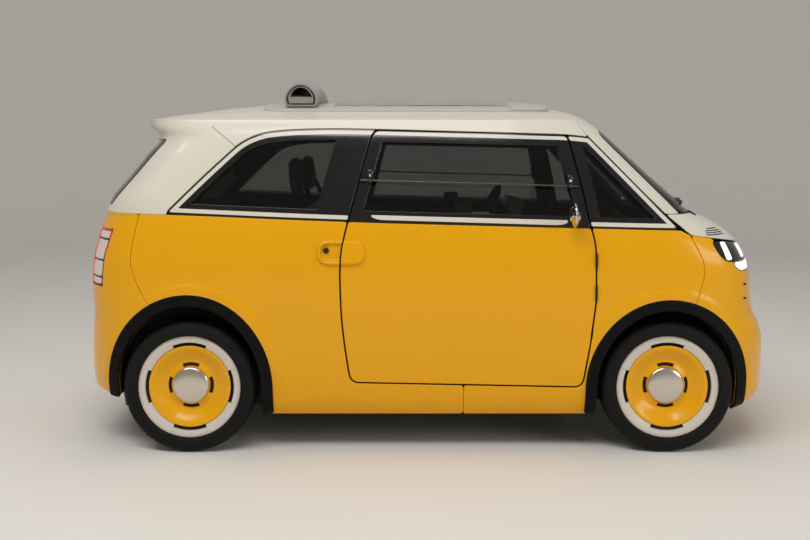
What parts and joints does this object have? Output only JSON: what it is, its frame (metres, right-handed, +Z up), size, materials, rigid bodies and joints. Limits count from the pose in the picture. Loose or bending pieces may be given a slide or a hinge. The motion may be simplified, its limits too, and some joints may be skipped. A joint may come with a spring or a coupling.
{
  "type": "two-door city concept car",
  "caption": "Small retro city concept car with a cream roof, covered wheels, barred side windows and a rolled canvas roof.",
  "frame": {"origin": "on the road under the middle of the car's box", "axes": "+X forward, +Y to the left, +Z up"},
  "size_m": [3.01, 1.613, 1.5898],
  "materials": {
    "body_paint": "high gloss solid yellow",
    "roof_paint": "high gloss cream",
    "glass": "dark tinted",
    "black_gloss": "piano black",
    "black_plastic": "fine grained",
    "lamp_lens": "clear lens over white light bars",
    "tail_lens": "red lens",
    "canvas": "woven canvas",
    "dash_plastic": "soft grained",
    "seat_fabric": "woven seat cloth",
    "steel": "dark coated steel",
    "tyre_rubber": "road tyre",
    "wheel_paint": "yellow dish with a cream ring and satin cap",
    "chrome": "polished"
  },
  "bodies": {
    "chassis": {"floor_pan": "black_plastic", "battery_block": "steel", "motor_block": "steel", "rear_quarter_right": "body_paint", "rear_quarter_left": "body_paint", "front_fender_right": "body_paint", "front_fender_left": "body_paint", "front_fascia": "body_paint", "rear_fascia": "body_paint", "cowl": "roof_paint", "roof_shell": "roof_paint", "windscreen_frame": "roof_paint", "windscreen": "glass", "window_frames": "black_gloss", "window_glass": "glass", "arch_trims": "black_plastic", "arch_liners": "black_plastic", "headlamps": "lamp_lens", "tail_lamps": "tail_lens", "wipers": "black_plastic", "canvas_roll": "canvas", "roof_pad": "roof_paint", "dashboard": "dash_plastic", "steering_column": "black_plastic", "front_seats": "seat_fabric", "rear_seat": "seat_fabric", "front_subframe": "steel", "rear_axle": "steel", "hinge_pins": "steel"},
    "door_right": {"door_panel_right": "body_paint", "door_frame_right": "black_gloss", "door_glass_right": "glass", "door_fittings_right": "chrome", "door_hinges_right": "steel"},
    "door_left": {"door_panel_left": "body_paint", "door_frame_left": "black_gloss", "door_glass_left": "glass", "door_fittings_left": "chrome", "door_hinges_left": "steel"},
    "tailgate": {"tailgate": "glass", "tailgate_hinges": "steel"},
    "knuckle_left": {"knuckle_left": "steel"},
    "knuckle_right": {"knuckle_right": "steel"},
    "steering_wheel": {"steering_wheel": "black_plastic"},
    "wheel_front_right": {"tyre_front_right": "tyre_rubber", "wheel_front_right": "wheel_paint"},
    "wheel_front_left": {"tyre_front_left": "tyre_rubber", "wheel_front_left": "wheel_paint"},
    "wheel_rear_right": {"tyre_rear_right": "tyre_rubber", "wheel_rear_right": "wheel_paint"},
    "wheel_rear_left": {"tyre_rear_left": "tyre_rubber", "wheel_rear_left": "wheel_paint"}
  },
  "joints": [
    {"name": "door_right_hinge", "type": "hinge", "parent": "chassis", "child": "door_right", "pos_m": [0.69229, -0.7153, 0.7], "axis": [0, 0, 1], "range_deg": [0, 65]},
    {"name": "door_left_hinge", "type": "hinge", "parent": "chassis", "child": "door_left", "pos_m": [0.69229, 0.7153, 0.7], "axis": [0, 0, -1], "range_deg": [0, 65]},
    {"name": "tailgate_hinge", "type": "hinge", "parent": "chassis", "child": "tailgate", "pos_m": [-1.20538, 0, 1.31219], "axis": [0, 1, 0], "range_deg": [0, 70]},
    {"name": "steer_left", "type": "hinge", "parent": "chassis", "child": "knuckle_left", "pos_m": [1, 0.576, 0.278], "axis": [0, 0, 1], "range_deg": [-32, 32]},
    {"name": "steer_right", "type": "hinge", "parent": "chassis", "child": "knuckle_right", "pos_m": [1, -0.576, 0.278], "axis": [0, 0, 1], "range_deg": [-32, 32]},
    {"name": "steering_wheel_turn", "type": "hinge", "parent": "chassis", "child": "steering_wheel", "pos_m": [0.301, 0.3, 0.91938], "axis": [-0.9063, 0, 0.4226], "range_deg": [-480, 480]},
    {"name": "wheel_front_right_spin", "type": "hinge", "parent": "knuckle_right", "child": "wheel_front_right", "pos_m": [1, -0.608, 0.278], "axis": [0, 1, 0], "continuous": true},
    {"name": "wheel_front_left_spin", "type": "hinge", "parent": "knuckle_left", "child": "wheel_front_left", "pos_m": [1, 0.608, 0.278], "axis": [0, 1, 0], "continuous": true},
    {"name": "wheel_rear_right_spin", "type": "hinge", "parent": "chassis", "child": "wheel_rear_right", "pos_m": [-1, -0.608, 0.278], "axis": [0, 1, 0], "continuous": true},
    {"name": "wheel_rear_left_spin", "type": "hinge", "parent": "chassis", "child": "wheel_rear_left", "pos_m": [-1, 0.608, 0.278], "axis": [0, 1, 0], "continuous": true}
  ],
  "couplings": [
    {"joint": "steer_right", "follows": "steer_left", "ratio": 1},
    {"joint": "steering_wheel_turn", "follows": "steer_left", "ratio": 15}
  ]
}
